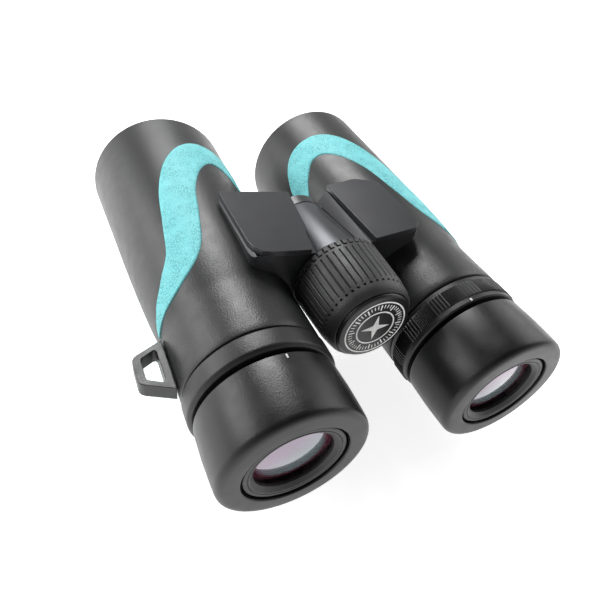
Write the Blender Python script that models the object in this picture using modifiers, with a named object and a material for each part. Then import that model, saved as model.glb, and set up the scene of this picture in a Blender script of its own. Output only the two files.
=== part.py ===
"""Roof-prism binoculars with a folding bridge, a centre focus wheel and twist-up eyecups.

The instrument lies on its back: X to the user's right, +Y towards the objectives, +Z up.
The origin is on the floor, under the middle of the instrument. Lengths below are in millimetres.
"""
import math

import bmesh
import bpy
import numpy as np

MM = 0.001

# ---- driving dimensions ----
HALF_LENGTH = 72.0
BARREL_X = 35.0
BARREL_Z = 27.0
HINGE_Z = 40.5
GAP = 0.3
SIDES = {"left": -1, "right": 1}

BARREL_STEPS = 32
RING_STEPS = 24
SMALL_STEPS = 16

RIM_RADIUS = 27.0
GRIP_ZONE_RADIUS = 21.8
SHADE_RADIUS = 24.2
ARMOUR_WALL = 1.6
CHASSIS_WALL = 1.5
ARMOUR_REAR = {"left": -43.7, "right": -41.2}
ARMOUR_OUTER = (
    (26.2, 72.0), (RIM_RADIUS, 71.2), (26.5, 60.0), (25.3, 36.0),
    (24.5, 14.0), (23.6, -8.0), (22.5, -19.0), (GRIP_ZONE_RADIUS, -23.0),
)
CHASSIS_FRONT = 50.0

OBJECTIVE_RADIUS = 21.0
CELL_BORE = 21.3
CELL_SPAN = (50.4, 64.0)
RETAINER_SPAN = (64.3, 66.8)
PRISM_SPAN = (-28.0, 8.0)
CAGE_RADIUS = 18.2
FOCUS_CELL_SPAN = (18.0, 26.0)

OCULAR_RADIUS = 16.2
OCULAR_BORE = 13.4
OCULAR_SPAN = (-69.2, -30.0)
EYE_LENS_RADIUS = 13.0
EYE_LENS_SPAN = (-68.8, -63.6)
BEZEL_RADIUS = 14.4
BEZEL_BORE = 11.2
BEZEL_DEPTH = 1.9
RING_RADIUS = 22.1
RING_BORE = 16.8
RING_REAR = -51.0
EYECUP_RADIUS = 21.5
EYECUP_BORE = 18.8
EYECUP_LIP = 15.0
EYECUP_SPAN = (-72.0, -52.5)
GUIDE_RADII = (18.4, 16.6)
GUIDE_SPAN = (-68.4, -52.0)

WHEEL_RADIUS = 15.3
WHEEL_SPAN = (-46.0, -22.0)
TUBE_SPAN = (-20.5, 7.5)
TUBE_RADII = (12.8, 9.8)
TUBE_BORE = 6.4
AXLE_RADIUS = 6.0
AXLE_BORE = 4.6
KNUCKLE_RADIUS = 9.8
KNUCKLE_SPAN = (7.9, 12.2)
ARM_SPAN = (-20.2, 11.6)
ARM_TOP = 49.8
COVER_TILT = math.radians(7.0)
COVER_THICKNESS = 1.8

LUG_THICKNESS = 5.0
LUG_ROOT_X = BARREL_X + GRIP_ZONE_RADIUS + 0.35
LUG_TIP_X = 66.5

INLAY_LIFT = 0.46
INLAY_THICKNESS = 0.34
# distance along the barrel, angle up from the outer side in degrees, half width
INLAY_PATH = (
    (-21.0, 4.0, 0.4), (-17.5, 24.0, 2.6), (-13.5, 44.0, 4.6), (-6.0, 62.0, 5.8), (8.0, 71.0, 6.2),
    (24.0, 79.0, 6.4), (38.0, 93.0, 6.8), (46.0, 112.0, 7.0), (45.0, 134.0, 6.6), (36.0, 150.0, 5.2),
    (26.0, 158.0, 3.0),
)


# ---- scene and materials ----
for old in list(bpy.data.objects):
    bpy.data.objects.remove(old, do_unlink=True)


def new_collection(name):
    group = bpy.data.collections.new(name)
    bpy.context.scene.collection.children.link(group)
    return group


PARTS = new_collection("binoculars")
CUTTERS = new_collection("cutters")

FINISHES = {
    "armour": ((0.030, 0.031, 0.033), 0.62, 0.0),
    "inlay": ((0.155, 0.700, 0.680), 0.55, 0.0),
    "black_plastic": ((0.012, 0.012, 0.013), 0.40, 0.0),
    "bridge_paint": ((0.070, 0.072, 0.078), 0.45, 0.2),
    "hinge_metal": ((0.420, 0.430, 0.450), 0.35, 0.9),
    "wheel_rubber": ((0.020, 0.020, 0.021), 0.60, 0.0),
    "steel": ((0.560, 0.570, 0.580), 0.30, 1.0),
    "brass": ((0.620, 0.460, 0.200), 0.35, 1.0),
    "cast_alloy": ((0.200, 0.205, 0.215), 0.50, 0.8),
    "coated_glass": ((0.560, 0.300, 0.460), 0.05, 0.0),
    "prism_glass": ((0.800, 0.860, 0.860), 0.05, 0.0),
}


def paint(part, finish):
    colour, roughness, metallic = FINISHES[finish]
    surface = bpy.data.materials.new(part.name)
    surface.use_nodes = True
    shader = surface.node_tree.nodes["Principled BSDF"]
    shader.inputs["Base Color"].default_value = (*colour, 1.0)
    shader.inputs["Roughness"].default_value = roughness
    shader.inputs["Metallic"].default_value = metallic
    part.data.materials.append(surface)


# ---- shape helpers ----
def add_object(name, mesh, finish):
    """Links a mesh as a part with its finish, or as a hidden wire cutter when finish is None."""
    made = bpy.data.objects.new(name, mesh)
    if finish is None:
        CUTTERS.objects.link(made)
        made.display_type = "WIRE"
        made.hide_render = True
    else:
        PARTS.objects.link(made)
        paint(made, finish)
    return made


def turned(name, profile, finish, centre=(0.0, HINGE_Z), steps=SMALL_STEPS):
    """Turns (radius, y) points about an axis along Y. The points run down the outer side, front to back.

    A profile that starts and ends at radius 0 is solid; any other one closes on itself as a ring.
    """
    mesh = bpy.data.meshes.new(name)
    count = len(profile)
    edges = [(i, i + 1) for i in range(count - 1)]
    if profile[0][0] > 0.0:
        edges.append((count - 1, 0))
    mesh.from_pydata([(r * MM, 0.0, y * MM) for r, y in profile], edges, [])
    made = add_object(name, mesh, finish)
    made.rotation_euler = (math.radians(-90.0), 0.0, 0.0)
    made.location = (centre[0] * MM, 0.0, centre[1] * MM)
    screw = made.modifiers.new("turn", "SCREW")
    screw.axis = "Z"
    screw.angle = math.tau
    screw.steps = steps
    screw.render_steps = steps
    screw.use_merge_vertices = True
    screw.merge_threshold = 0.00001
    return made


def ring(name, outer, bore, span, finish, centre, steps=RING_STEPS):
    """A plain tube between two places along the barrel."""
    rear, front = span
    profile = ((bore, front), (outer, front), (outer, rear), (bore, rear))
    return turned(name, profile, finish, centre, steps)


def extruded(name, outline, thickness, finish, rotation=(0.0, 0.0, 0.0), place=(0.0, 0.0, 0.0)):
    """A flat outline with thickness, made from a filled 2D curve and welded into one mesh."""
    curve = bpy.data.curves.new(name + "_outline", "CURVE")
    curve.dimensions = "2D"
    curve.fill_mode = "BOTH"
    curve.extrude = thickness * MM / 2.0
    spline = curve.splines.new("POLY")
    spline.points.add(len(outline) - 1)
    spline.use_cyclic_u = True
    for point, (x, y) in zip(spline.points, outline):
        point.co = (x * MM, y * MM, 0.0, 1.0)
    guide = bpy.data.objects.new(name + "_outline", curve)
    CUTTERS.objects.link(guide)
    depsgraph = bpy.context.evaluated_depsgraph_get()
    mesh = bpy.data.meshes.new_from_object(guide.evaluated_get(depsgraph))
    bpy.data.objects.remove(guide, do_unlink=True)
    shape = bmesh.new()
    shape.from_mesh(mesh)
    bmesh.ops.remove_doubles(shape, verts=shape.verts, dist=0.000001)
    bmesh.ops.recalc_face_normals(shape, faces=shape.faces)
    shape.to_mesh(mesh)
    shape.free()
    made = add_object(name, mesh, finish)
    made.rotation_euler = rotation
    made.location = [value * MM for value in place]
    return made


def along_y(name, outline, span, finish):
    """An (x, z) outline extruded along Y between two places."""
    middle = (span[0] + span[1]) / 2.0
    return extruded(name, outline, span[1] - span[0], finish, (math.radians(90.0), 0.0, 0.0), (0.0, middle, 0.0))


def combine(target, other, operation):
    change = target.modifiers.new(operation.lower() + "_" + other.name, "BOOLEAN")
    change.operation = operation
    change.solver = "EXACT"
    change.object = other


def rounded(corners, steps=3):
    """Rounds (x, y, radius) corners into arcs of a few points."""
    points = []
    for index, (x, y, radius) in enumerate(corners):
        here = np.array((x, y))
        before = np.array(corners[index - 1][:2]) - here
        after = np.array(corners[(index + 1) % len(corners)][:2]) - here
        before = before / np.linalg.norm(before)
        after = after / np.linalg.norm(after)
        if radius == 0.0:
            points.append((x, y))
            continue
        half = math.acos(float(np.clip(before @ after, -1.0, 1.0))) / 2.0
        inward = (before + after) / np.linalg.norm(before + after)
        middle = here + inward * radius / math.sin(half)
        start = here + before * radius / math.tan(half) - middle
        end = here + after * radius / math.tan(half) - middle
        first = math.atan2(start[1], start[0])
        sweep = (math.atan2(end[1], end[0]) - first + math.pi) % math.tau - math.pi
        for step in range(steps + 1):
            angle = first + sweep * step / steps
            points.append((middle[0] + radius * math.cos(angle), middle[1] + radius * math.sin(angle)))
    return points


def mirrored(points, side):
    """Outward distances turned into X places on one side of the instrument."""
    return [(side * u, v) for u, v in points]


def lens(name, radius, front, rear, front_sag, rear_sag, finish, centre):
    """A turned lens. A positive sag bulges outwards at that face, a negative one is hollow."""
    shares = (0.0, 0.4, 0.7, 1.0)
    profile = [(radius * t, front - front_sag * t * t) for t in shares]
    profile += [(radius * t, rear + rear_sag * t * t) for t in reversed(shares)]
    return turned(name, profile, finish, centre, RING_STEPS)


def armour_radius(y):
    """Outer radius of the rubber armour at a place along the barrel."""
    points = sorted((place, radius) for radius, place in ARMOUR_OUTER)
    return float(np.interp(y, [p for p, _ in points], [r for _, r in points]))


# ---- barrel shells ----
def barrel_armour(side_name, centre):
    rear = ARMOUR_REAR[side_name]
    outer = list(ARMOUR_OUTER) + [(GRIP_ZONE_RADIUS, rear + 0.7), (GRIP_ZONE_RADIUS - 0.7, rear)]
    inner = [(GRIP_ZONE_RADIUS - ARMOUR_WALL, rear), (GRIP_ZONE_RADIUS - ARMOUR_WALL, -24.0)]
    inner += [(armour_radius(y) - ARMOUR_WALL, y) for y in (-19.0, -8.0, 14.0, 36.0)]
    inner += [(SHADE_RADIUS, 49.0), (SHADE_RADIUS, HALF_LENGTH)]
    return turned(side_name + "_armour", outer + inner, "armour", centre, BARREL_STEPS)


def chassis_line(growth):
    """The chassis tube's outer line, or a line outside it by a growth."""
    lift = growth - ARMOUR_WALL - GAP
    places = (CHASSIS_FRONT, 36.0, 14.0, -8.0, -19.0)
    line = [(min(armour_radius(y), 25.2) + lift, y) for y in places]
    return line + [(GRIP_ZONE_RADIUS + lift, -24.5)]


def barrel_chassis(side_name, centre):
    rear = ARMOUR_REAR[side_name] + 0.7
    outer = chassis_line(0.0) + [(GRIP_ZONE_RADIUS - ARMOUR_WALL - GAP, rear)]
    inner = [(r - CHASSIS_WALL, y) for r, y in outer]
    closing = [(OCULAR_RADIUS + 0.4, rear), (OCULAR_RADIUS + 0.4, rear + 1.5)]
    inner[-1] = (inner[-1][0], rear + 1.5)
    return turned(side_name + "_chassis", outer + closing + inner[::-1], "cast_alloy", centre, RING_STEPS)


def strap_lug(side_name, side):
    outline = ((LUG_ROOT_X, -41.0, 0.0), (LUG_TIP_X, -36.5, 2.6), (LUG_TIP_X, -27.0, 2.6), (LUG_ROOT_X, -22.5, 0.0))
    hole = ((59.3, -38.2, 0.8), (64.1, -35.6, 1.0), (64.1, -27.9, 1.0), (59.3, -25.3, 0.8))
    place = (0.0, 0.0, BARREL_Z)
    lug = extruded(side_name + "_strap_lug", mirrored(rounded(outline), side), LUG_THICKNESS, "armour", place=place)
    slot = extruded(side_name + "_slot_cutter", mirrored(rounded(hole, 2), side), LUG_THICKNESS + 4.0, None,
                    place=place)
    combine(lug, slot, "DIFFERENCE")


def spline_value(rows, share):
    """A smooth curve through evenly spaced rows, read at a share of its length."""
    last = len(rows) - 1
    index = min(int(share * last), last - 1)
    t = share * last - index
    p0, p1, p2, p3 = (np.array(rows[min(max(index + k, 0), last)]) for k in (-1, 0, 1, 2))
    return p1 + 0.5 * t * (p2 - p0 + t * (2 * p0 - 5 * p1 + 4 * p2 - p3 + t * (3 * (p1 - p2) + p3 - p0)))


def inlay(name, side, upright, cells=22):
    """A leather strip bent over the armour, from the strap lug over the barrel to its inner side."""
    shape = bmesh.new()
    bmesh.ops.create_grid(shape, x_segments=cells, y_segments=2, size=1.0)
    for vert in shape.verts:
        share = (vert.co.x + 1.0) / 2.0
        y, angle, half_width = spline_value(INLAY_PATH, share)
        ahead = spline_value(INLAY_PATH, min(share + 0.01, 1.0)) - spline_value(INLAY_PATH, max(share - 0.01, 0.0))
        radius = armour_radius(y) + INLAY_LIFT
        along = np.array((ahead[0], math.radians(ahead[1]) * radius))
        along = along / np.linalg.norm(along)
        shift = vert.co.y * half_width
        y = y - along[1] * shift
        turn = math.radians(angle) + along[0] * shift / radius
        radius = armour_radius(y) + INLAY_LIFT
        x = side * (BARREL_X + radius * math.cos(turn))
        vert.co = (x * MM, y * MM, (BARREL_Z + upright * radius * math.sin(turn)) * MM)
    if side * upright < 0:
        bmesh.ops.reverse_faces(shape, faces=shape.faces)
    mesh = bpy.data.meshes.new(name)
    shape.to_mesh(mesh)
    shape.free()
    made = add_object(name, mesh, "inlay")
    skin = made.modifiers.new("thickness", "SOLIDIFY")
    skin.thickness = INLAY_THICKNESS * MM
    skin.offset = 1.0


# ---- optics ----
def prism_set(side_name, centre):
    cage = turned(side_name + "_prism_cage",
                  [(0.0, PRISM_SPAN[1])] + [(CAGE_RADIUS, y) for y in PRISM_SPAN[::-1]] + [(0.0, PRISM_SPAN[0])],
                  "black_plastic", centre, RING_STEPS)
    window = ((-11.5, -12.5), (11.5, -12.5), (11.5, 12.5), (-11.5, 12.5))
    around = [(centre[0] + x, centre[1] + z) for x, z in window]
    combine(cage, along_y(side_name + "_cage_cutter", around, (PRISM_SPAN[0] - 2.0, PRISM_SPAN[1] + 2.0), None),
            "DIFFERENCE")
    upright = (math.radians(90.0), 0.0, math.radians(90.0))
    roof = ((-9.5, -11.5), (7.0, -11.5), (-9.5, 11.5))
    half = ((-5.5, 11.5), (7.5, -6.5), (7.5, 11.5))
    extruded(side_name + "_roof_prism", roof, 22.0, "prism_glass", upright, (centre[0], -17.0, centre[1]))
    extruded(side_name + "_half_prism", half, 22.0, "prism_glass", upright, (centre[0], -3.0, centre[1]))


def objective_set(side_name, centre):
    fit = SHADE_RADIUS - GAP
    ring(side_name + "_objective_cell", fit, CELL_BORE, CELL_SPAN, "black_plastic", centre, BARREL_STEPS)
    lens(side_name + "_objective_crown", OBJECTIVE_RADIUS, 62.6, 56.4, 2.6, 1.0, "coated_glass", centre)
    lens(side_name + "_objective_flint", OBJECTIVE_RADIUS, 55.8, 51.4, -1.0, 0.6, "coated_glass", centre)
    rear, front = RETAINER_SPAN
    retainer = ((fit, front), (fit, rear), (20.4, rear), (20.4, rear + 0.8), (22.4, front))
    turned(side_name + "_objective_retainer", retainer, "black_plastic", centre, BARREL_STEPS)


def focus_set(side_name, centre):
    ring(side_name + "_focus_cell", 16.5, 13.3, FOCUS_CELL_SPAN, "cast_alloy", centre, SMALL_STEPS)
    lens(side_name + "_focus_lens", 13.0, 23.0, 20.6, -1.2, -0.6, "prism_glass", centre)


def ocular_set(side_name, centre):
    rear, front = OCULAR_SPAN
    tube = ((OCULAR_BORE, front), (CAGE_RADIUS, front), (CAGE_RADIUS, front - 3.0), (OCULAR_RADIUS, front - 3.0),
            (OCULAR_RADIUS, rear), (OCULAR_BORE, rear))
    turned(side_name + "_ocular_tube", tube, "black_plastic", centre)
    ring(side_name + "_field_cell", 12.6, 11.2, (-39.0, -33.0), "cast_alloy", centre, SMALL_STEPS)
    lens(side_name + "_field_lens", 10.9, -34.0, -38.0, 1.0, 0.5, "prism_glass", centre)
    lens_rear, lens_front = EYE_LENS_SPAN
    lens(side_name + "_eye_lens", EYE_LENS_RADIUS, lens_front, lens_rear, 0.6, 1.4, "coated_glass", centre)
    seat = rear - GAP
    face = seat - BEZEL_DEPTH
    bezel = ((BEZEL_BORE, seat), (BEZEL_RADIUS, seat), (BEZEL_RADIUS, face + 0.5), (BEZEL_RADIUS - 0.5, face),
             (BEZEL_BORE + 1.2, face), (BEZEL_BORE, face + 1.1))
    turned(side_name + "_eye_lens_retainer", bezel, "black_plastic", centre)


def eyecup_set(side_name, centre):
    ring(side_name + "_eyecup_guide", *GUIDE_RADII, GUIDE_SPAN, "black_plastic", centre)
    rear, front = EYECUP_SPAN
    cup = ((EYECUP_BORE, front), (EYECUP_RADIUS - 0.6, front), (EYECUP_RADIUS, front - 0.6),
           (EYECUP_RADIUS, rear + 2.8), (EYECUP_RADIUS - 0.8, rear + 0.8), (EYECUP_RADIUS - 2.6, rear),
           (EYECUP_LIP + 0.6, rear), (EYECUP_LIP, rear + 0.6), (EYECUP_LIP, rear + 2.0), (EYECUP_BORE, rear + 3.0))
    turned(side_name + "_eyecup", cup, "black_plastic", centre, BARREL_STEPS)


def eye_ring(side_name, centre):
    """The plain collar of the left eyepiece, or the dioptre ring of the right one."""
    name = side_name + ("_collar" if side_name == "left" else "_dioptre_ring")
    front = ARMOUR_REAR[side_name] - GAP
    profile = ((RING_BORE, front), (RING_RADIUS - 0.3, front), (RING_RADIUS, front - 0.5),
               (RING_RADIUS, RING_REAR + 0.8), (RING_RADIUS - 0.8, RING_REAR), (RING_BORE, RING_REAR))
    turned(name, profile, "black_plastic", centre, BARREL_STEPS)


# ---- bridge and hinge ----
def cover_height(u):
    return ARM_TOP + (u - 3.0) * math.tan(COVER_TILT)


def arm_outline(side, growth=0.0):
    """The arm's section in X and Z; the right one slopes down to the hinge tube at its inner end."""
    crest = 4.5 if side < 0 else 11.2
    line = [(crest, cover_height(crest))]
    if side > 0:
        line.append((8.0, 46.8))
        line.append((4.5, 46.8))
    line += [(4.5, 30.5 - growth), (18.0, 30.5 - growth), (29.4 + growth, 44.0)]
    line += [(29.4 + growth, cover_height(28.2) - 1.2), (28.2 + growth, cover_height(28.2) + growth)]
    return mirrored(line, side)


def chassis_cutter(side_name, centre):
    line = chassis_line(GAP)
    profile = [(0.0, CHASSIS_FRONT)] + line + [(line[-1][0], -30.0), (0.0, -30.0)]
    return turned(side_name + "_chassis_cutter", profile, None, centre, RING_STEPS)


def bridge_arm(side_name, side, armour, centre):
    arm = along_y(side_name + "_bridge_arm", arm_outline(side), ARM_SPAN, "bridge_paint")
    combine(arm, chassis_cutter(side_name, centre), "DIFFERENCE")
    rear_radius, front_radius = TUBE_RADII[0] + 0.35, TUBE_RADII[1] + 0.4
    hollow = [(rear_radius, TUBE_SPAN[0]), (rear_radius, ARM_SPAN[0] - 3.0), (0.0, ARM_SPAN[0] - 3.0)]
    if side < 0:
        hollow = [(0.0, 15.0), (front_radius, 15.0), (front_radius, TUBE_SPAN[1])] + hollow
    else:
        hollow = [(0.0, TUBE_SPAN[1] + 0.3), (front_radius, TUBE_SPAN[1] + 0.3)] + hollow
        rear, front = KNUCKLE_SPAN
        eye = ((0.0, front), (KNUCKLE_RADIUS, front), (KNUCKLE_RADIUS, rear), (0.0, rear))
        combine(arm, turned("knuckle_form", eye, None, steps=RING_STEPS), "UNION")
        bore = ((0.0, 20.0), (AXLE_RADIUS + GAP, 20.0), (AXLE_RADIUS + GAP, 0.0), (0.0, 0.0))
        combine(arm, turned("knuckle_bore", bore, None), "DIFFERENCE")
    combine(arm, turned(side_name + "_hinge_cutter", hollow, None, steps=RING_STEPS), "DIFFERENCE")
    clear_span = (ARM_SPAN[0] - GAP, ARM_SPAN[1] + GAP)
    window = along_y(side_name + "_window_cutter", arm_outline(side, GAP), clear_span, None)
    combine(armour, window, "DIFFERENCE")


def bridge_cover(side_name, side):
    """A flat plate that lies on the arm, tilted up outwards."""
    if side < 0:
        corners = ((4.2, 12.4, 0.4), (29.6, 12.4, 1.2), (29.6, -21.2, 5.5), (10.8, -21.2, 0.6), (8.9, -12.0, 0.3),
                   (7.4, -9.2, 0.6))
    else:
        corners = ((11.2, 12.4, 0.5), (23.0, 12.4, 3.0), (29.6, 7.0, 3.0), (29.6, -21.2, 3.5), (12.4, -21.2, 0.6))
    lift = COVER_THICKNESS / 2.0 + GAP
    turn = -side * COVER_TILT
    middle = 16.0
    outline = [(side * (u - middle) / math.cos(COVER_TILT), y) for u, y in rounded(corners)]
    place = (side * (middle - lift * math.sin(COVER_TILT)), 0.0, cover_height(middle) + lift * math.cos(COVER_TILT))
    extruded(side_name + "_bridge_cover", outline, COVER_THICKNESS, "bridge_paint", (0.0, turn, 0.0), place)


def hinge_parts():
    (rear, front), (wide, slim) = TUBE_SPAN, TUBE_RADII
    tube = ((TUBE_BORE, front), (slim, front), (wide, rear + 0.6), (wide - 0.6, rear), (TUBE_BORE, rear))
    turned("hinge_tube", tube, "hinge_metal", steps=BARREL_STEPS)
    ring("hinge_axle", AXLE_RADIUS, AXLE_BORE, (-19.5, 11.9), "steel", (0.0, HINGE_Z), SMALL_STEPS)
    ring("tripod_bush", 4.3, 3.2, (3.0, 11.7), "brass", (0.0, HINGE_Z), SMALL_STEPS)
    cap = ((0.0, 17.0), (5.4, 17.0), (6.0, 16.4), (6.0, 12.6), (2.9, 12.6), (2.9, 5.0), (0.0, 5.0))
    turned("tripod_cap", cap, "black_plastic")


def focus_parts():
    rear, front = WHEEL_SPAN
    core = ((2.5, front - 0.5), (12.0, front - 0.5), (12.0, rear + 2.0), (2.5, rear + 2.0))
    turned("focus_wheel_core", core, "cast_alloy", steps=RING_STEPS)
    grip = ((12.3, front), (WHEEL_RADIUS - 0.6, front), (WHEEL_RADIUS, front - 0.6), (WHEEL_RADIUS - 0.7, rear + 8.0),
            (WHEEL_RADIUS - 1.6, rear + 3.0), (13.1, rear + 1.4), (12.3, rear + 1.4))
    turned("focus_wheel_grip", grip, "wheel_rubber", steps=BARREL_STEPS)
    cap = ((0.0, rear + 1.6), (12.0, rear + 1.6), (12.0, rear + 1.0), (11.0, rear), (0.0, rear))
    turned("focus_wheel_cap", cap, "black_plastic", steps=BARREL_STEPS)
    spindle = ((0.0, -6.0), (2.2, -6.0), (2.2, rear + 2.2), (0.0, rear + 2.2))
    turned("focus_spindle", spindle, "steel")
    ring("focus_traveller", 4.3, 2.5, (-14.0, -10.0), "brass", (0.0, HINGE_Z), SMALL_STEPS)


for half, way in SIDES.items():
    axis = (way * BARREL_X, BARREL_Z)
    shell = barrel_armour(half, axis)
    barrel_chassis(half, axis)
    strap_lug(half, way)
    inlay(half + "_inlay_top", way, 1)
    inlay(half + "_inlay_under", way, -1)
    prism_set(half, axis)
    objective_set(half, axis)
    focus_set(half, axis)
    ocular_set(half, axis)
    eyecup_set(half, axis)
    eye_ring(half, axis)
    bridge_arm(half, way, shell, axis)
    bridge_cover(half, way)
hinge_parts()
focus_parts()
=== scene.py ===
"""The looks of folding roof-prism binoculars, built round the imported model. Lengths are in millimetres."""
import math

import bmesh
import bpy
import numpy as np
from mathutils import Matrix, Vector, noise


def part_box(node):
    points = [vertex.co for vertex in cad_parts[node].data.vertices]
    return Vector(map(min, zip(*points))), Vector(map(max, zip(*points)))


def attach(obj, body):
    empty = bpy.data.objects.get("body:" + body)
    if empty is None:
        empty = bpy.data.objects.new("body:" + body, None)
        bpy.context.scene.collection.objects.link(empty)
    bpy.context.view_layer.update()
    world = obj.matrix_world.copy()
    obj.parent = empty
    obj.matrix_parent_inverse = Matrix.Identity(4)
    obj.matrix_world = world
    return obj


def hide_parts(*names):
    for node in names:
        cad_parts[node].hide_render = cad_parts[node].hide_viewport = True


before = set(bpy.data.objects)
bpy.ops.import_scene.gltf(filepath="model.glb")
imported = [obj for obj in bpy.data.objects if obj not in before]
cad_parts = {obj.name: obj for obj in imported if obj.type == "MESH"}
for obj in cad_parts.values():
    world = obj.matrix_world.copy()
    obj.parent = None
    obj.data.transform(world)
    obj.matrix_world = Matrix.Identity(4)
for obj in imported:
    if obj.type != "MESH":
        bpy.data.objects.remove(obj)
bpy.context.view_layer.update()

MM = 0.001
TAU = math.tau


def node_box(name):
    """A node's lowest and highest corners in millimetres."""
    low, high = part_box(name)
    return np.array(low) / MM, np.array(high) / MM


def node_span(name):
    """Where a node ends at the rear and at the front, along Y in millimetres."""
    low, high = node_box(name)
    return float(low[1]), float(high[1])


def node_axis(name):
    """The X and Z of a turned node's axis in millimetres."""
    low, high = node_box(name)
    middle = (low + high) / 2.0
    return float(middle[0]), float(middle[2])


SIDES = {"left": -1, "right": 1}
BARREL = {half: node_axis(half + "_eyecup") for half in SIDES}
HINGE = node_axis("hinge_tube")
FRONT = node_span("left_armour")[1]
REAR = node_span("left_eyecup")[0]

# barrels: the armour swells by a step over a length and then widens by a slope
GRIP_RADIUS = 21.8
TAPER_START = -23.0
FLARE_STEP, FLARE_LENGTH, FLARE_SLOPE = 1.75, 14.0, 0.035
RIM_FLAT = 26.0
RIM_ROUND = 0.9
MOUTH_RADIUS = 24.2

# eyepieces
EYECUP_RADIUS = 21.5
EYECUP_BORE = 18.8
EYECUP_LIP = 15.0
BEZEL_RADIUS = 14.4
BEZEL_BORE = 11.2
EYE_LENS_RADIUS = 13.0
OCULAR_BORE = 16.8
COLLAR_RADIUS = 22.1
DIOPTRE_RADIUS = 21.5
OBJECTIVE_RADIUS = 21.0

# focus wheel, with its radius given at places along the axis, from its cap to the barrels
WHEEL_RIBS = 44
WHEEL_LINE = ((-44.6, 13.1), (-43.0, 13.7), (-38.0, 14.6), (-22.6, 15.3))
RIB_DEPTH = 0.6
GRIP_BORE = 12.3
PRINT_DEPTH = 0.07

# bridge
ARM_CORNER = {"left": 4.8, "right": 3.0}
TUBE_BORE = 6.4
CAP_HEAD_RADIUS = 6.0
CAP_STEM_RADIUS = 2.9
CAP_STEM_END = 5.0


# ---------------------------------------------------------------- materials
class Surface:
    """A procedural material: one Principled shader fed by object-space textures."""

    def __init__(self, name, colour, roughness, metallic=0.0):
        self.material = bpy.data.materials.new(name)
        self.material.use_nodes = True
        self.tree = self.material.node_tree
        self.shader = self.tree.nodes["Principled BSDF"]
        self.shader.inputs["Metallic"].default_value = metallic
        self.shader.inputs["Roughness"].default_value = roughness
        self.shader.inputs["Base Color"].default_value = (*colour, 1.0)
        self.where = self.add("ShaderNodeTexCoord").outputs["Object"]
        self.normal = None

    def add(self, kind, **settings):
        """A new node, with its own properties or its inputs set by name."""
        made = self.tree.nodes.new(kind)
        for key, value in settings.items():
            if hasattr(made, key):
                setattr(made, key, value)
            else:
                made.inputs[key].default_value = value
        return made

    def link(self, start, end):
        self.tree.links.new(start, end)

    def stretched(self, scale):
        """Object coordinates stretched along the axes, for brushed or flowing textures."""
        mapping = self.add("ShaderNodeMapping", Scale=scale)
        self.link(self.where, mapping.inputs["Vector"])
        return mapping.outputs["Vector"]

    def noise(self, scale, detail=4.0, roughness=0.55, vector=None):
        made = self.add("ShaderNodeTexNoise", Scale=scale, Detail=detail, Roughness=roughness)
        self.link(vector or self.where, made.inputs["Vector"])
        return made.outputs["Fac"]

    def cells(self, scale, feature="F1", smoothness=0.3, vector=None):
        made = self.add("ShaderNodeTexVoronoi", feature=feature, Scale=scale)
        if feature == "SMOOTH_F1":
            made.inputs["Smoothness"].default_value = smoothness
        self.link(vector or self.where, made.inputs["Vector"])
        return made.outputs["Distance"]

    def mapped(self, value, low, high, out_low, out_high):
        made = self.add("ShaderNodeMapRange")
        for key, number in zip(("From Min", "From Max", "To Min", "To Max"), (low, high, out_low, out_high)):
            made.inputs[key].default_value = number
        self.link(value, made.inputs["Value"])
        return made.outputs["Result"]

    def math(self, operation, first, second):
        made = self.add("ShaderNodeMath", operation=operation)
        for socket, value in zip(made.inputs, (first, second)):
            if isinstance(value, (int, float)):
                socket.default_value = value
            else:
                self.link(value, socket)
        return made.outputs["Value"]

    def blend(self, share, first, second):
        """Mixes two colours, given as triples or sockets, by a share."""
        made = self.add("ShaderNodeMix", data_type="RGBA")
        self.link(share, made.inputs["Factor"])
        for key, value in ((6, first), (7, second)):
            if isinstance(value, tuple):
                made.inputs[key].default_value = (*value, 1.0)
            else:
                self.link(value, made.inputs[key])
        return made.outputs[2]

    def way_from(self, place):
        """The vector from a place, given in millimetres, to the shaded point."""
        made = self.add("ShaderNodeVectorMath", operation="SUBTRACT")
        self.link(self.where, made.inputs[0])
        made.inputs[1].default_value = [value * MM for value in place]
        return made.outputs[0]

    def length(self, vector):
        made = self.add("ShaderNodeVectorMath", operation="LENGTH")
        self.link(vector, made.inputs[0])
        return made.outputs["Value"]

    def bump(self, height, distance, strength=1.0):
        made = self.add("ShaderNodeBump", Distance=distance * MM, Strength=strength)
        self.link(height, made.inputs["Height"])
        if self.normal is not None:
            self.link(self.normal, made.inputs["Normal"])
        self.normal = made.outputs["Normal"]
        self.link(self.normal, self.shader.inputs["Normal"])

    def colour(self, value):
        self.link(value, self.shader.inputs["Base Color"])

    def rough(self, value):
        self.link(value, self.shader.inputs["Roughness"])

    def edge_share(self, low=0.52, high=0.62):
        """Rises from 0 to 1 along sharp outer edges, where paint and rubber wear."""
        geometry = self.add("ShaderNodeNewGeometry")
        worn = self.mapped(geometry.outputs["Pointiness"], low, high, 0.0, 1.0)
        patchy = self.mapped(self.noise(900.0, 5.0), 0.35, 0.65, 0.0, 1.0)
        return self.math("MULTIPLY", worn, patchy)


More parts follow.
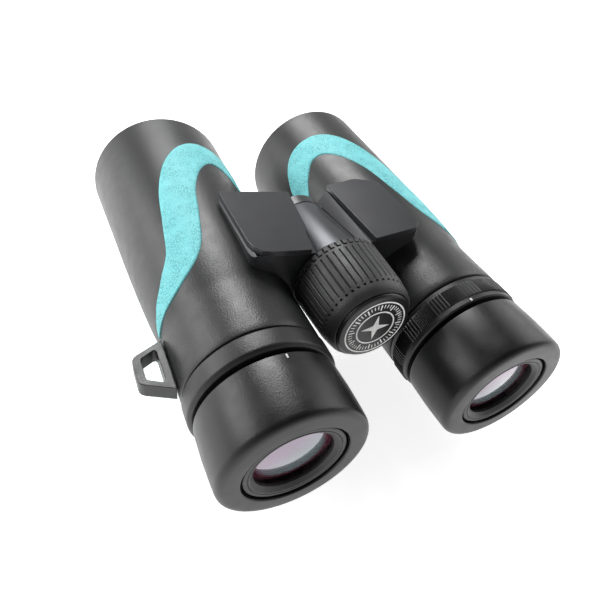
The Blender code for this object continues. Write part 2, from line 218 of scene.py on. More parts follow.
def moulded(name, colour, worn, roughness, grain=1800.0, depth=0.05, spread=0.10, sheen=0.0):
    """Rubber or moulded plastic: fine grain, cloudy tone, roughness patches and worn edges."""
    made = Surface(name, colour, roughness)
    cloud = made.mapped(made.noise(55.0, 3.0), 0.3, 0.7, 0.0, 1.0)
    lighter = tuple(value * 1.35 + 0.002 for value in colour)
    base = made.blend(cloud, colour, lighter)
    made.colour(made.blend(made.edge_share(), base, worn))
    patch = made.noise(240.0, 5.0)
    made.rough(made.mapped(patch, 0.3, 0.7, roughness - spread / 2.0, roughness + spread / 2.0))
    made.bump(made.cells(grain, "SMOOTH_F1", 0.6), depth)
    made.bump(made.noise(grain * 0.5, 4.0), depth * 0.30, 0.5)
    if sheen:
        made.shader.inputs["Sheen Weight"].default_value = sheen
        made.shader.inputs["Sheen Roughness"].default_value = 0.5
    return made.material


def leather(name, colour, crease_shade_colour):
    """Grained leather: pebbles of two sizes, wrinkles, painted shade in the creases between the pebbles and a
    satin top.
    """
    made = Surface(name, colour, 0.5)
    warp = made.add("ShaderNodeTexNoise", Scale=260.0)
    made.link(made.where, warp.inputs["Vector"])
    bend = made.add("ShaderNodeMix", data_type="VECTOR", Factor=0.0014)
    made.link(made.where, bend.inputs[4])
    made.link(warp.outputs["Color"], bend.inputs[5])
    bent = bend.outputs[1]
    pebble = made.cells(1350.0, "SMOOTH_F1", 0.35, bent)
    edges = made.cells(1350.0, "DISTANCE_TO_EDGE", vector=bent)
    shade_strength = made.mapped(made.noise(170.0, 4.0), 0.36, 0.58, 0.25, 1.0)
    fine = made.cells(2600.0, "SMOOTH_F1", 0.4, bent)
    wrinkle = made.noise(210.0, 7.0, 0.62, made.stretched((1.0, 0.45, 1.0)))
    # painted shade: the colour darkens towards the crease colour in the grooves between the pebbles, more in
    # some patches than others
    hollow_shade = made.math("MULTIPLY", made.mapped(edges, 0.03, 0.17, 1.0, 0.0), shade_strength)
    tone = made.mapped(made.noise(48.0, 3.0), 0.3, 0.7, 0.0, 1.0)
    lighter = tuple(min(value * 1.10 + 0.015, 1.0) for value in colour)
    base = made.blend(tone, colour, lighter)
    # blends in the painted crease shade
    made.colour(made.blend(made.math("MULTIPLY", hollow_shade, 0.75), base, crease_shade_colour))
    made.rough(made.mapped(pebble, 0.0, 0.6, 0.40, 0.68))
    made.bump(made.mapped(wrinkle, 0.3, 0.7, 0.0, 1.0), 0.12, 0.7)
    made.bump(made.mapped(pebble, 0.0, 0.7, 1.0, 0.0), 0.09, 0.8)
    made.bump(made.mapped(fine, 0.0, 0.7, 1.0, 0.0), 0.05, 0.8)
    return made.material


def metal(name, colour, roughness, stretch, depth, wear=(0.6, 0.6, 0.62)):
    """Bare metal with drawn streaks, tone patches and bright worn edges."""
    made = Surface(name, colour, roughness, 1.0)
    streak = made.noise(2600.0, 4.0, 0.6, made.stretched(stretch))
    tone = made.mapped(made.noise(70.0, 4.0), 0.3, 0.7, 0.0, 1.0)
    darker = tuple(value * 0.80 for value in colour)
    base = made.blend(tone, darker, colour)
    made.colour(made.blend(made.edge_share(0.54, 0.66), base, wear))
    made.rough(made.mapped(streak, 0.3, 0.7, roughness - 0.07, roughness + 0.09))
    made.bump(streak, depth)
    return made.material


def painted(name, colour, worn, roughness, metallic=0.25):
    """Smooth satin paint on metal: an even tone, a very fine orange peel and thin bright edges."""
    made = Surface(name, colour, roughness, metallic)
    cloud = made.mapped(made.noise(28.0, 2.0), 0.3, 0.7, 0.0, 1.0)
    base = made.blend(cloud, colour, tuple(value * 1.08 for value in colour))
    made.colour(made.blend(made.edge_share(0.60, 0.72), base, worn))
    made.rough(made.mapped(made.noise(160.0, 4.0), 0.3, 0.7, roughness - 0.02, roughness + 0.03))
    made.bump(made.noise(1300.0, 2.0), 0.006, 0.6)
    return made.material


def coated_glass(name, centre_tint, rim_tint, middle, radius, transmission=0.35):
    """Lens glass with an interference coating whose tint runs from the middle to the rim."""
    made = Surface(name, centre_tint, 0.03)
    share = made.mapped(made.length(made.way_from(middle)), 0.15 * radius * MM, 0.98 * radius * MM, 0.0, 1.0)
    haze = made.mapped(made.noise(90.0, 3.0), 0.3, 0.7, -0.06, 0.06)
    made.colour(made.blend(made.math("ADD", share, haze), centre_tint, rim_tint))
    made.rough(made.mapped(made.noise(600.0, 5.0), 0.3, 0.7, 0.02, 0.05))
    made.shader.inputs["IOR"].default_value = 1.6
    made.shader.inputs["Transmission Weight"].default_value = transmission
    made.shader.inputs["Coat Weight"].default_value = 0.6
    made.shader.inputs["Coat Roughness"].default_value = 0.02
    made.shader.inputs["Coat Tint"].default_value = (*rim_tint, 1.0)
    return made.material


# rubber and plastic: colour, worn colour, roughness, the grain's scale and depth, the roughness's spread
ARMOUR = moulded("armour_rubber", (0.0105, 0.0108, 0.0112), (0.045, 0.045, 0.047), 0.40, 2300.0, 0.040, 0.08)
EYECUP = moulded("eyecup_rubber", (0.0040, 0.0040, 0.0043), (0.024, 0.024, 0.025), 0.36, 2600.0, 0.020, 0.08)
PLASTIC = moulded("black_plastic", (0.009, 0.009, 0.0095), (0.040, 0.040, 0.041), 0.42, 2000.0, 0.030, 0.08)
WHEEL_RUBBER = moulded("wheel_rubber", (0.018, 0.018, 0.019), (0.050, 0.050, 0.050), 0.48, 1700.0, 0.04,
                       sheen=0.06)
GLOSS_CAP = moulded("cap_plastic", (0.012, 0.012, 0.0125), (0.040, 0.040, 0.040), 0.33, 2600.0, 0.015, 0.06)
EYECUP.node_tree.nodes["Principled BSDF"].inputs["Specular IOR Level"].default_value = 0.44
# the third colour is painted shade in the leather's creases
TURQUOISE = leather("turquoise_leather", (0.205, 0.690, 0.720), (0.055, 0.340, 0.370))
SEAT = moulded("inlay_seat", (0.012, 0.075, 0.080), (0.030, 0.120, 0.125), 0.60, 1500.0, 0.04)
BRIDGE_PAINT = painted("bridge_paint", (0.036, 0.037, 0.040), (0.22, 0.22, 0.23), 0.34)
HINGE_METAL = painted("hinge_metal", (0.070, 0.073, 0.078), (0.40, 0.40, 0.42), 0.36, 0.75)
CAST = metal("cast_alloy", (0.20, 0.205, 0.215), 0.48, (1.0, 1.0, 1.0), 0.03)
STEEL = metal("steel", (0.56, 0.57, 0.58), 0.26, (1.0, 0.08, 1.0), 0.01)
BRASS = metal("brass", (0.62, 0.46, 0.20), 0.32, (0.2, 1.0, 0.2), 0.01, (0.80, 0.66, 0.36))
PRINT = moulded("white_print", (0.86, 0.86, 0.85), (0.60, 0.60, 0.59), 0.50, 2400.0, 0.01)
PRISM = coated_glass("prism_glass", (0.72, 0.80, 0.78), (0.62, 0.72, 0.70), (0.0, 0.0, 0.0), 60.0, 0.6)


# ---------------------------------------------------------------- mesh helpers
def finish_piece(name, mesh, material, body, replaced=(), angle=32.0):
    """Links a mesh as a piece that rides on a body and may stand in for CAD nodes."""
    made = bpy.data.objects.new(name, mesh)
    bpy.context.scene.collection.objects.link(made)
    mesh.materials.clear()
    mesh.materials.append(material)
    mesh.shade_smooth()
    mesh.set_sharp_from_angle(angle=math.radians(angle))
    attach(made, body)
    if replaced:
        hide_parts(*replaced)
    return made


def mesh_from(name, verts, faces):
    mesh = bpy.data.meshes.new(name)
    mesh.from_pydata([tuple(v) for v in verts], [], faces)
    mesh.update()
    return mesh


def round_point(centre, radius, angle, y):
    """A point at an angle round an axis along Y, in metres."""
    return (centre[0] + radius * math.cos(angle)) * MM, y * MM, (centre[1] + radius * math.sin(angle)) * MM


def filleted(points, steps=5):
    """Rounds the corners of an open (radius, y, fillet) profile into arcs."""
    line = []
    for index, (r, y, fillet) in enumerate(points):
        here = np.array((r, y), float)
        if fillet == 0.0 or index in (0, len(points) - 1):
            line.append((r, y))
            continue
        before = np.array(points[index - 1][:2], float) - here
        after = np.array(points[index + 1][:2], float) - here
        fillet = min(fillet, 0.45 * np.linalg.norm(before), 0.45 * np.linalg.norm(after))
        start = here + before / np.linalg.norm(before) * fillet
        end = here + after / np.linalg.norm(after) * fillet
        for step in range(steps + 1):
            t = step / steps
            line.append(tuple((1 - t) ** 2 * start + 2 * t * (1 - t) * here + t * t * end))
    return line


def lathe(name, profile, centre, steps=144, closed=True, wave=None):
    """Turns (radius, y) points, which run along the outer side from front to rear, about an axis along Y.

    wave(angle, row, radius, y) may change the radius at a place. Rows at radius 0 become a pole.
    """
    verts = []
    rows = []
    for row, (radius, y) in enumerate(profile):
        if radius < 1e-6:
            rows.append([len(verts)])
            verts.append((centre[0] * MM, y * MM, centre[1] * MM))
            continue
        start = len(verts)
        for step in range(steps):
            angle = TAU * step / steps
            here = wave(angle, row, radius, y) if wave else radius
            verts.append(round_point(centre, here, angle, y))
        rows.append(list(range(start, start + steps)))
    pairs = list(zip(rows[:-1], rows[1:]))
    if closed and len(rows[0]) > 1 and len(rows[-1]) > 1:
        pairs.append((rows[-1], rows[0]))
    faces = []
    for upper, lower in pairs:
        for step in range(steps):
            after = (step + 1) % steps
            if len(upper) == 1:
                faces.append((upper[0], lower[step], lower[after]))
            elif len(lower) == 1:
                faces.append((upper[after], upper[step], lower[0]))
            else:
                faces.append((upper[after], upper[step], lower[step], lower[after]))
    return mesh_from(name, verts, faces)


def eased(node, material, body, width, segments, rear_corner=0.0):
    """A CAD node's shape with its flat faces merged, its edges eased and its outer rear corner rounded."""
    shape = bmesh.new()
    shape.from_mesh(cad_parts[node].data)
    bmesh.ops.remove_doubles(shape, verts=shape.verts, dist=1e-6)
    bmesh.ops.dissolve_limit(shape, angle_limit=math.radians(1.0), verts=shape.verts, edges=shape.edges)
    if rear_corner:
        rear = min(vert.co.y for vert in shape.verts)
        reach = max(abs(vert.co.x) for vert in shape.verts)
        near = 0.05 * MM
        corner = [edge for edge in shape.edges
                  if all(vert.co.y < rear + near and abs(vert.co.x) > reach - near for vert in edge.verts)]
        bmesh.ops.bevel(shape, geom=corner, offset=rear_corner * MM, segments=8, profile=0.5, affect="EDGES")
    mesh = bpy.data.meshes.new(node + "_eased")
    shape.to_mesh(mesh)
    shape.free()
    mesh.update()
    piece = finish_piece(node + "_skin", mesh, material, body, (node,))
    bevel = piece.modifiers.new("ease", "BEVEL")
    bevel.width = width * MM
    bevel.segments = segments
    bevel.limit_method = "ANGLE"
    bevel.angle_limit = math.radians(28.0)
    bevel.harden_normals = False
    return piece


# ---------------------------------------------------------------- barrels
def barrel_radius(y):
    """The armour's outer radius: straight in the grip zone, a soft swell, then a slow flare to the rim."""
    along = max(y - TAPER_START, 0.0)
    return GRIP_RADIUS + FLARE_STEP * (1.0 - math.exp(-along / FLARE_LENGTH)) + FLARE_SLOPE * along


def armour(half):
    """The rubber sleeve: a rounded rim, the outside, and back through the bore to a ridged mouth."""
    node = half + "_armour"
    rear = node_span(node)[0]
    rim = barrel_radius(FRONT - 1.2)
    outer = [(24.4, FRONT - 0.2), (25.0, FRONT), (RIM_FLAT, FRONT)]
    for step in range(1, 7):
        angle = math.radians(15.0 * step)
        radius = RIM_FLAT + (rim - RIM_FLAT) * math.sin(angle)
        outer.append((radius, FRONT - RIM_ROUND * (1.0 - math.cos(angle))))
    outer += [(barrel_radius(y), float(y)) for y in np.linspace(FRONT - 1.2, rear + 0.9, 60)]
    outer += [(GRIP_RADIUS - 0.15, rear + 0.35), (GRIP_RADIUS - 0.7, rear)]
    inner = [(20.2, rear), (20.2, -24.0), (20.9, -19.0), (22.0, -8.0), (22.9, 14.0), (23.7, 36.0)]
    inner += [(MOUTH_RADIUS, 49.0), (MOUTH_RADIUS, 62.5)]
    inner += [(MOUTH_RADIUS if step % 2 else 23.95, FRONT - 5.2 + step * 0.5) for step in range(9)]
    mesh = lathe(node + "_skin", outer + inner, BARREL[half], 160)
    finish_piece(node + "_skin", mesh, ARMOUR, half + "_half", (node,), 40.0)


# distance along the barrel, angle up from the outer side in degrees, half width
INLAY_PATH = (
    (-21.0, 4.0, 0.4), (-17.5, 24.0, 2.6), (-13.5, 44.0, 4.6), (-6.0, 62.0, 5.8), (8.0, 71.0, 6.2),
    (24.0, 79.0, 6.4), (38.0, 93.0, 6.8), (46.0, 112.0, 7.0), (45.0, 134.0, 6.6), (36.0, 150.0, 5.2),
    (26.0, 158.0, 3.0),
)


def path_value(rows, share):
    """A smooth curve through evenly spaced rows, read at a share of its length."""
    last = len(rows) - 1
    index = min(int(share * last), last - 1)
    t = share * last - index
    p0, p1, p2, p3 = (np.array(rows[min(max(index + k, 0), last)]) for k in (-1, 0, 1, 2))
    return p1 + 0.5 * t * (p2 - p0 + t * (2 * p0 - 5 * p1 + 4 * p2 - p3 + t * (3 * (p1 - p2) + p3 - p0)))


def strip(name, half, upright, cells, widen, height):
    """A strip bent over the armour along the inlay's path. height(share, across, y, turn) lifts it off."""
    side = SIDES[half]
    long_cells, cross_cells = cells
    verts = []
    for i in range(long_cells + 1):
        share = i / long_cells
        y0, angle, half_width = path_value(INLAY_PATH, share)
        start, end = max(share - 0.004, 0.0), min(share + 0.004, 1.0)
        ahead = path_value(INLAY_PATH, end) - path_value(INLAY_PATH, start)
        radius = barrel_radius(y0)
        along = np.array((ahead[0], math.radians(ahead[1]) * radius))
        along = along / np.linalg.norm(along)
        end_push = widen * ((share > 0.999) - (share < 0.001))
        for j in range(cross_cells + 1):
            across = 2.0 * j / cross_cells - 1.0
            shift = across * (half_width + widen)
            y = y0 - along[1] * shift + along[0] * end_push
            turn = math.radians(angle) + (along[0] * shift + along[1] * end_push) / radius
            here = barrel_radius(y) + height(share, across, y, turn)
            verts.append((
                (BARREL[half][0] + side * here * math.cos(turn)) * MM,
                y * MM,
                (BARREL[half][1] + upright * here * math.sin(turn)) * MM,
            ))
    row = cross_cells + 1
    faces = []
    for i in range(long_cells):
        for j in range(cross_cells):
            a, b, c, d = i * row + j, i * row + j + 1, (i + 1) * row + j + 1, (i + 1) * row + j
            faces.append((a, b, c, d) if side * upright > 0 else (d, c, b, a))
    return mesh_from(name, verts, faces)


def inlay(half, place, upright):
    """The leather strip, padded and rolled down at its edges, in a darker seat."""
    body = half + "_half"

    def padded(share, across, y, turn):
        edge = min(1.0, (1.0 - abs(across)) / 0.10, share / 0.012, (1.0 - share) / 0.012)
        roll = math.sin(max(edge, 0.0) * math.pi / 2.0)
        wrinkle = noise.fractal(Vector((y * 0.30, turn * 7.0, upright * 3.0)), 0.9, 2.1, 4)
        pebble = noise.noise(Vector((y * 1.7, turn * 42.0, 5.0)))
        return -0.22 + roll * (0.55 + 0.10 * wrinkle + 0.045 * pebble)

    def seat(share, across, y, turn):
        return 0.10 if abs(across) < 0.99 and 0.001 < share < 0.999 else -0.10

    node = half + "_inlay_" + place
    mesh = strip(node + "_skin", half, upright, (260, 34), 0.0, padded)
    finish_piece(node + "_skin", mesh, TURQUOISE, body, (node,), 75.0)
    bed = strip(node + "_seat", half, upright, (140, 12), 0.55, seat)
    finish_piece(node + "_seat", bed, SEAT, body, angle=75.0)


# ---------------------------------------------------------------- eyepieces
def eyecup(half):
    """The rubber cup: a straight side, a well rounded rear edge, a flat face and a lip round its mouth."""
    node = half + "_eyecup"
    rear, front = REAR, node_span(node)[1]
    radius = EYECUP_RADIUS
    profile = filleted([
        (EYECUP_BORE, front, 0.0), (radius - 0.25, front, 0.5), (radius, front - 8.0, 0.0),
        (radius - 0.1, rear + 5.0, 0.0), (radius - 0.3, rear, 4.4), (EYECUP_LIP, rear, 0.5),
        (EYECUP_LIP, rear + 2.0, 0.3), (EYECUP_BORE, rear + 3.0, 0.0),
    ], 7)
    mesh = lathe(node + "_skin", profile, BARREL[half], 160)
    finish_piece(node + "_skin", mesh, EYECUP, node, (node,), 40.0)


def bezel(half):
    """The retaining ring almost flush with the eyecup's face, with a fine groove and a dark conical mouth."""
    node = half + "_eye_lens_retainer"
    face, seat = node_span(node)
    profile = filleted([
        (BEZEL_BORE, seat, 0.0), (BEZEL_RADIUS, seat, 0.0), (BEZEL_RADIUS, face, 0.6), (13.25, face, 0.1),
        (13.05, face + 0.28, 0.1), (12.85, face, 0.1), (12.45, face + 0.05, 0.2),
        (BEZEL_BORE, face + 1.1, 0.2),
    ])
    mesh = lathe(half + "_bezel_skin", profile, BARREL[half], 128)
    finish_piece(half + "_bezel_skin", mesh, PLASTIC, half + "_half", (node,), 30.0)


def domed_lens(name, half, radius, front, rear, front_sag, rear_sag, material, node):
    """A lens that rides on its half, curved by its own sag at the front and at the rear."""
    shares = np.linspace(0.0, 1.0, 14)
    profile = [(radius * t, front - front_sag * t * t) for t in shares]
    profile += [(radius * t, rear + rear_sag * t * t) for t in shares[::-1]]
    mesh = lathe(name, profile, BARREL[half], 96, closed=False)
    finish_piece(name, mesh, material, half + "_half", (node,), 35.0)


def eye_coating_and_reflection(half, rear):
    """Eye lens glass with a lilac coating and a pink rim, and a painted reflection that runs its colour from
    lilac to grey green across it.
    """
    x, z = BARREL[half]
    made = Surface(half + "_eye_coating_and_reflection", (0.40, 0.28, 0.36), 0.04, 0.45)
    way = made.way_from((x, rear, z))
    # painted reflection: across the lens the colour runs from the coating's lilac to a lighter grey green
    # along this fixed slant
    reflection_slant = made.add("ShaderNodeVectorMath", operation="DOT_PRODUCT")
    made.link(way, reflection_slant.inputs[0])
    reflection_slant.inputs[1].default_value = (0.62, 0.0, -0.78)
    haze = made.mapped(made.noise(110.0, 3.0), 0.3, 0.7, -0.10, 0.10)
    across = made.math("ADD", made.mapped(reflection_slant.outputs["Value"], -3.5 * MM, 4.5 * MM, 0.0, 1.0), haze)
    body = made.blend(across, (0.34, 0.27, 0.35), (0.290, 0.350, 0.370))
    rim = made.mapped(made.length(way), 8.9 * MM, 10.6 * MM, 0.0, 1.0)
    made.colour(made.blend(rim, body, (0.26, 0.070, 0.110)))
    made.rough(made.mapped(made.noise(600.0, 5.0), 0.3, 0.7, 0.02, 0.06))
    made.shader.inputs["IOR"].default_value = 1.7
    made.shader.inputs["Coat Weight"].default_value = 0.5
    made.shader.inputs["Coat Roughness"].default_value = 0.02
    return made.material


def eye_optics(half):
    node = half + "_eye_lens"
    rear, front = node_span(node)
    tint = eye_coating_and_reflection(half, rear)
    domed_lens(node + "_skin", half, EYE_LENS_RADIUS, front, rear, 0.6, 1.4, tint, node)


def front_optics(half):
    """The objective's front lens and the ribbed ring that holds it."""
    x, z = BARREL[half]
    tint = coated_glass(half + "_objective_coating", (0.05, 0.17, 0.13), (0.03, 0.07, 0.10), (x, 62.0, z),
                        OBJECTIVE_RADIUS, 0.3)
    domed_lens(half + "_objective_skin", half, OBJECTIVE_RADIUS, 62.6, 56.4, 2.6, 1.0, tint,
               half + "_objective_crown")
    node = half + "_objective_retainer"
    rear, front = node_span(node)
    profile = [(23.9, front), (23.9, rear), (20.3, rear), (20.3, rear + 0.5)]
    for step in range(7):
        share = step / 6.0
        profile.append((20.5 + 2.2 * share + (0.0 if step % 2 else 0.22), rear + 0.6 + 1.7 * share))
    mesh = lathe(half + "_retainer_skin", profile, BARREL[half], 128)
    finish_piece(half + "_retainer_skin", mesh, PLASTIC, half + "_half", (node,), 25.0)


def collar():
    rear, front = node_span("left_collar")
    radius = COLLAR_RADIUS
    profile = filleted([
        (OCULAR_BORE, front, 0.0), (radius - 0.5, front, 0.2), (radius, front - 0.5, 0.3),
        (radius, rear + 0.9, 0.6), (radius - 1.0, rear, 0.3), (OCULAR_BORE, rear, 0.0),
    ])
    mesh = lathe("left_collar_skin", profile, BARREL["left"], 160)
    finish_piece("left_collar_skin", mesh, PLASTIC, "left_half", ("left_collar",), 35.0)


def knurl(angle):
    """Groups of coarse ribs with fine ribs between them, as on a dioptre ring."""
    group = (angle / TAU * 12.0) % 1.0
    if group < 0.5:
        tooth = (group / 0.5 * 5.0) % 1.0
        return 0.55 * min(1.0, max(0.0, 3.2 * (0.5 - abs(tooth - 0.5)) - 0.15))
    tooth = ((group - 0.5) / 0.5 * 10.0) % 1.0
    return 0.40 * min(1.0, max(0.0, 3.0 * (0.5 - abs(tooth - 0.5)) - 0.1))


def dioptre_ring():
    """The ring, plain at its front and rear, with the knurl standing on the two rows between."""
    body = "right_dioptre"
    rear, front = node_span(body + "_ring")
    radius = DIOPTRE_RADIUS
    line = [(OCULAR_BORE, front), (radius - 0.5, front), (radius, front - 0.3), (radius, front - 1.3)]
    line += [(radius, front - 1.7), (radius, front - 2.0), (radius, rear + 2.2), (radius, rear + 1.8)]
    line += [(radius, rear + 1.4), (radius, rear + 0.4), (radius - 0.4, rear), (OCULAR_BORE, rear)]
    knurled = (5, 6)

    def wave(angle, row, here, y):
        return here + knurl(angle) if row in knurled else here

    mesh = lathe(body + "_skin", line, BARREL["right"], 960, wave=wave)
    finish_piece(body + "_skin", mesh, PLASTIC, body, (body + "_ring",), 30.0)


# ---------------------------------------------------------------- focus wheel
def pulse(value, duty, slope):
    """A flat-topped bump in each unit of value."""
    part = value % 1.0
    return max(0.0, min(1.0, (duty / 2.0 - abs(part - 0.5)) / slope + 0.5))


def wheel_radius(y):
    """The wheel widens from its cap towards the barrels."""
    places, radii = zip(*WHEEL_LINE)
    return float(np.interp(y, places, radii))


def wheel_grip():
    """Wide flat ribs between narrow grooves, with hooked grooves in front and a row of dimples behind."""
    node = "focus_wheel_grip"
    rear, front = node_span(node)
    # each row: place along the axis, then the duty, phase and height of the ribs round it
    rows = [
        (front, 1.0, 0.0, 0.2), (front - 0.3, 1.0, 0.0, 0.9), (front - 0.6, 0.80, 0.0, 1.0),
        (front - 1.9, 0.80, 0.0, 1.0), (front - 2.0, 0.38, 0.22, 1.0), (front - 2.4, 0.38, 0.22, 1.0),
        (front - 2.5, 1.0, 0.0, 1.0), (front - 3.3, 1.0, 0.0, 1.0), (front - 3.5, 0.82, 0.0, 1.0),
        (front - 9.0, 0.82, 0.0, 1.0), (rear + 6.4, 0.82, 0.0, 1.0), (rear + 4.9, 0.82, 0.0, 1.0),
        (rear + 4.7, 1.0, 0.0, 1.0), (rear + 4.2, 1.0, 0.0, 1.0), (rear + 4.1, 0.68, 0.0, 1.0),
        (rear + 3.5, 0.68, 0.0, 1.0), (rear + 3.4, 1.0, 0.0, 1.0), (rear + 2.4, 1.0, 0.0, 1.0),
        (rear + 1.4, 1.0, 0.0, 0.9), (rear + 0.5, 1.0, 0.0, 0.5),
    ]
    profile = [(GRIP_BORE, front)]
    profile += [(wheel_radius(row[0]) - RIB_DEPTH, row[0]) for row in rows]
    profile += [(GRIP_BORE + 0.2, rear), (GRIP_BORE, rear)]

    def wave(angle, row, here, y):
        if not 1 <= row <= len(rows):
            return here
        _, duty, phase, height = rows[row - 1]
        share = 1.0 if duty == 1.0 else pulse(angle / TAU * WHEEL_RIBS + phase, duty, 0.09)
        return here + RIB_DEPTH * height * share

    mesh = lathe("focus_grip_skin", profile, HINGE, 1408, wave=wave)
    finish_piece("focus_grip_skin", mesh, WHEEL_RUBBER, "focus_wheel", (node,), 28.0)


def wheel_cap():
    """The wheel's smooth rear cap. Returns the place of its face, which takes the print."""
    node = "focus_wheel_cap"
    rear, front = node_span(node)
    profile = filleted([
        (0.0, front, 0.0), (12.0, front, 0.2), (12.15, rear + 1.1, 0.6), (11.7, rear + 0.35, 0.6),
        (10.5, rear, 0.9), (0.0, rear, 0.0),
    ])
    mesh = lathe("focus_cap_skin", profile, HINGE, 144, closed=False)
    finish_piece("focus_cap_skin", mesh, GLOSS_CAP, "focus_wheel", (node,), 30.0)
    return rear


def printed_band(verts, faces, inner, outer, start, end, y):
    """Adds a flat printed arc, or a whole ring when it spans a full turn."""
    steps = max(2, int(abs(end - start) / TAU * 160))
    first = len(verts)
    for step in range(steps + 1):
        angle = start + (end - start) * step / steps
        for radius in (inner, outer):
            for depth in (0.0, PRINT_DEPTH):
                verts.append(round_point(HINGE, radius, angle, y - depth))
    for step in range(steps):
        a = first + step * 4
        b = a + 4
        faces.append((a + 1, b + 1, b + 3, a + 3))
        faces.append((a + 2, b + 2, b, a))
        faces.append((a, b, b + 1, a + 1))
        faces.append((a + 3, b + 3, b + 2, a + 2))
    last = first + steps * 4
    faces.append((first, first + 1, first + 3, first + 2))
    faces.append((last + 2, last + 3, last + 1, last))


def printed_polygon(verts, faces, outline, y):
    """Adds a flat printed shape, given by its outline round the hinge's axis."""
    first = len(verts)
    count = len(outline)
    for depth in (0.0, PRINT_DEPTH):
        for x, z in outline:
            verts.append(((HINGE[0] + x) * MM, (y - depth) * MM, (HINGE[1] + z) * MM))
    faces.append(tuple(first + count + k for k in range(count)))
    faces.append(tuple(first + count - 1 - k for k in range(count)))
    for k in range(count):
        n = (k + 1) % count
        faces.append((first + k, first + n, first + count + n, first + count + k))


def emblem(y):
    """Generic print on the wheel's cap: two rings, scale ticks between them and a four-pointed star."""
    verts, faces = [], []
    printed_band(verts, faces, 5.95, 6.40, 0.0, TAU, y)
    printed_band(verts, faces, 9.65, 10.10, 0.0, TAU, y)
    for tick in range(48):
        middle = TAU * tick / 48.0
        long_tick = tick % 4 == 0
        inner = 7.0 if long_tick else 7.7
        width = 0.026 if long_tick else 0.016
        printed_band(verts, faces, inner, 9.0, middle - width, middle + width, y)
    star = []
    for point in range(8):
        angle = TAU * point / 8.0 + math.pi / 2.0
        radius = 4.9 if point % 2 == 0 else 1.35
        star.append((radius * math.cos(angle), radius * math.sin(angle)))
    printed_polygon(verts, faces, star, y)
    mesh = mesh_from("focus_emblem", verts, faces)
    finish_piece("focus_emblem", mesh, PRINT, "focus_wheel", angle=30.0)


def index_mark(name, half, body, radius, span, angle, width):
    """A short printed line along the barrel, laid just over a round surface."""
    rear, front = span
    verts = []
    for y in (rear, front):
        for share in (-1.0, 0.0, 1.0):
            turn = math.radians(angle) + share * width / 2.0 / radius
            for lift in (0.0, 0.05):
                verts.append(round_point(BARREL[half], radius + lift, turn, y))
    faces = [(1, 3, 9, 7), (3, 5, 11, 9), (0, 6, 8, 2), (2, 8, 10, 4), (0, 1, 7, 6), (4, 10, 11, 5)]
    faces += [(0, 2, 3, 1), (2, 4, 5, 3), (6, 7, 9, 8), (8, 9, 11, 10)]
    mesh = mesh_from(name, verts, faces)
    shape = bmesh.new()
    shape.from_mesh(mesh)
    bmesh.ops.recalc_face_normals(shape, faces=shape.faces)
    shape.to_mesh(mesh)
    shape.free()
    finish_piece(name, mesh, PRINT, body, angle=30.0)


# ---------------------------------------------------------------- bridge
def hinge_tube():
    rear, front = node_span("hinge_tube")
    profile = filleted([
        (TUBE_BORE, front, 0.0), (9.8, front, 0.4), (12.8, rear + 0.6, 0.6), (12.2, rear, 0.4),
        (TUBE_BORE, rear, 0.0),
    ])
    mesh = lathe("hinge_tube_skin", profile, HINGE, 144)
    finish_piece("hinge_tube_skin", mesh, HINGE_METAL, "left_half", ("hinge_tube",), 30.0)


def tripod_cap():
    """A dished cap with a ribbed edge on a plain stem."""
    front = node_span("tripod_cap")[1]
    shoulder = front - 4.4

    def wave(angle, row, here, y):
        return here + (0.28 * pulse(angle / TAU * 30.0, 0.5, 0.2) - 0.28 if row in ribbed else 0.0)

    profile = filleted([
        (0.0, front - 0.5, 0.0), (4.1, front - 0.5, 0.2), (4.4, front, 0.2), (5.4, front, 0.5),
        (CAP_HEAD_RADIUS, front - 0.8, 0.3), (CAP_HEAD_RADIUS, shoulder, 0.3),
        (CAP_STEM_RADIUS, shoulder, 0.0), (CAP_STEM_RADIUS, CAP_STEM_END, 0.0), (0.0, CAP_STEM_END, 0.0),
    ])
    ribbed = {row for row, (radius, _) in enumerate(profile) if radius > 5.8}
    mesh = lathe("tripod_cap_skin", profile, HINGE, 240, closed=False, wave=wave)
    finish_piece("tripod_cap_skin", mesh, PLASTIC, "tripod_cap", ("tripod_cap",), 30.0)


# ---------------------------------------------------------------- assembly
def carried_over():
    """CAD nodes that stay as they are get their materials."""
    kinds = {
        "chassis": CAST, "prism_cage": PLASTIC, "roof_prism": PRISM, "half_prism": PRISM,
        "objective_cell": PLASTIC, "objective_flint": PRISM, "focus_cell": CAST, "focus_lens": PRISM,
        "field_cell": CAST, "field_lens": PRISM, "ocular_tube": PLASTIC, "eyecup_guide": PLASTIC,
    }
    chosen = {half + "_" + kind: material for half in SIDES for kind, material in kinds.items()}
    chosen.update({
        "hinge_axle": STEEL, "tripod_bush": BRASS, "focus_wheel_core": CAST, "focus_spindle": STEEL,
        "focus_traveller": BRASS,
    })
    for name, material in chosen.items():
        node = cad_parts[name]
        node.data.materials.clear()
        node.data.materials.append(material)


for half in SIDES:
    armour(half)
    inlay(half, "top", 1)
    inlay(half, "under", -1)
    eyecup(half)
    bezel(half)
    eye_optics(half)
    front_optics(half)
    eased(half + "_strap_lug", ARMOUR, half + "_half", 0.9, 4)
    eased(half + "_bridge_arm", BRIDGE_PAINT, half + "_half", 0.30, 2, ARM_CORNER[half])
    eased(half + "_bridge_cover", BRIDGE_PAINT, half + "_half", 0.45, 3)
collar()
dioptre_ring()
wheel_grip()
emblem(wheel_cap())
hinge_tube()
tripod_cap()
index_mark("left_eyecup_index", "left", "left_eyecup", 21.45, (-54.6, -53.3), angle=84.0, width=0.5)
index_mark("right_dioptre_index", "right", "right_dioptre", 21.48, (-50.6, -49.7), angle=104.0, width=0.6)
carried_over()


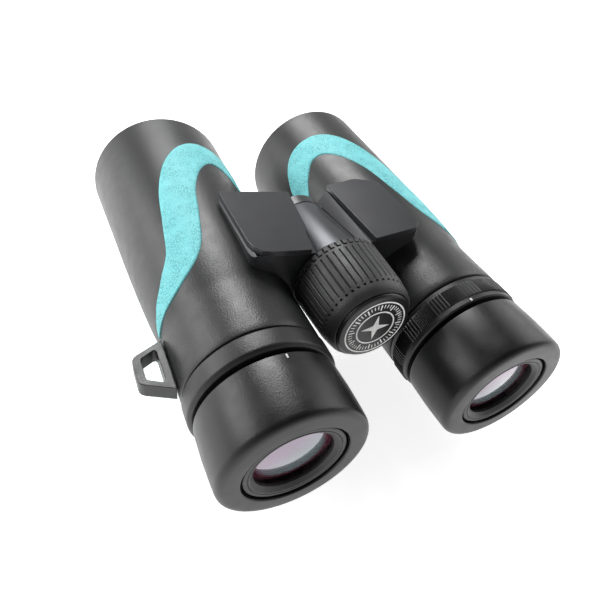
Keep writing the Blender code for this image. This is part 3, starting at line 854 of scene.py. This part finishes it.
# ---------------------------------------------------------------- floor, light and camera
FLOOR_REACH, FLOOR_GAP = 3.0, 0.0002
FLOOR_GLOW = 0.80
HORIZON_LIGHT, ZENITH_LIGHT = 0.72, 0.05
LIGHT_TARGET = (0.0, 0.0, 0.03)
# each light: its place and size in metres and its power in watts
LIGHTS = {
    "over": ((0.02, 0.62, 0.72), (0.42, 0.34), 7.0),
    "left": ((-0.62, 0.42, 0.36), (0.50, 0.40), 3.2),
    "right": ((0.60, 0.10, 0.45), (0.50, 0.50), 1.6),
}
# the camera's place in millimetres, its angles in degrees, and its focal length as a share of its sensor
CAMERA_PLACE = (-75.8, -124.8, 141.4)
CAMERA_AZIMUTH, CAMERA_ELEVATION, CAMERA_ROLL = -31.7, 41.8, 10.5
FOCAL_SHARE = 502.0 / 600.0


def stage_floor():
    """A white, slightly glowing floor just under the part."""
    surface = Surface("floor", (0.94, 0.94, 0.94), 0.65)
    surface.rough(surface.mapped(surface.noise(30.0, 2.0), 0.3, 0.7, 0.6, 0.7))
    surface.shader.inputs["Emission Color"].default_value = (1.0, 1.0, 1.0, 1.0)
    surface.shader.inputs["Emission Strength"].default_value = FLOOR_GLOW
    corners = [(x * FLOOR_REACH, y * FLOOR_REACH, 0.0) for x, y in ((-1, -1), (1, -1), (1, 1), (-1, 1))]
    mesh = mesh_from("floor", corners, [(0, 1, 2, 3)])
    mesh.materials.append(surface.material)
    floor = bpy.data.objects.new("floor", mesh)
    bpy.context.scene.collection.objects.link(floor)
    floor.location.z = -FLOOR_GAP


def area_light(name, place, size, power):
    lamp = bpy.data.lights.new(name, "AREA")
    lamp.shape = "RECTANGLE"
    lamp.size, lamp.size_y = size
    lamp.energy = power
    made = bpy.data.objects.new(name, lamp)
    bpy.context.scene.collection.objects.link(made)
    made.location = place
    made.rotation_euler = (Vector(LIGHT_TARGET) - Vector(place)).to_track_quat("-Z", "Y").to_euler()


def studio():
    """White surroundings that darken overhead, a high soft box beyond the objectives and one on each side."""
    bpy.context.scene.view_settings.view_transform = "Standard"
    world = bpy.data.worlds.new("studio")
    bpy.context.scene.world = world
    world.use_nodes = True
    background = world.node_tree.nodes["Background"]
    background.inputs["Color"].default_value = (1.0, 1.0, 1.0, 1.0)
    height = world.node_tree.nodes.new("ShaderNodeSeparateXYZ")
    direction = world.node_tree.nodes.new("ShaderNodeTexCoord").outputs["Generated"]
    world.node_tree.links.new(direction, height.inputs[0])
    sweep = world.node_tree.nodes.new("ShaderNodeMapRange")
    limits = {"From Min": 0.25, "From Max": 0.75, "To Min": HORIZON_LIGHT, "To Max": ZENITH_LIGHT}
    for key, number in limits.items():
        sweep.inputs[key].default_value = number
    world.node_tree.links.new(height.outputs["Z"], sweep.inputs["Value"])
    world.node_tree.links.new(sweep.outputs["Result"], background.inputs["Strength"])
    for name, (place, size, power) in LIGHTS.items():
        area_light(name, place, size, power)


def camera():
    lens = bpy.data.cameras.new("camera")
    lens.sensor_width = 36.0
    lens.lens = FOCAL_SHARE * lens.sensor_width
    lens.clip_start = 0.005
    made = bpy.data.objects.new("camera", lens)
    bpy.context.scene.collection.objects.link(made)
    azimuth, elevation, roll = (math.radians(v) for v in (CAMERA_AZIMUTH, CAMERA_ELEVATION, CAMERA_ROLL))
    level = math.cos(elevation)
    back = Vector((math.sin(azimuth) * level, -math.cos(azimuth) * level, math.sin(elevation)))
    right = Vector((0.0, 0.0, 1.0)).cross(back).normalized()
    up = back.cross(right)
    turned_right = right * math.cos(roll) + up * math.sin(roll)
    turned_up = up * math.cos(roll) - right * math.sin(roll)
    turn = Matrix((turned_right, turned_up, back)).transposed().to_4x4()
    made.matrix_world = Matrix.Translation([v * MM for v in CAMERA_PLACE]) @ turn
    bpy.context.scene.camera = made


stage_floor()
studio()
camera()
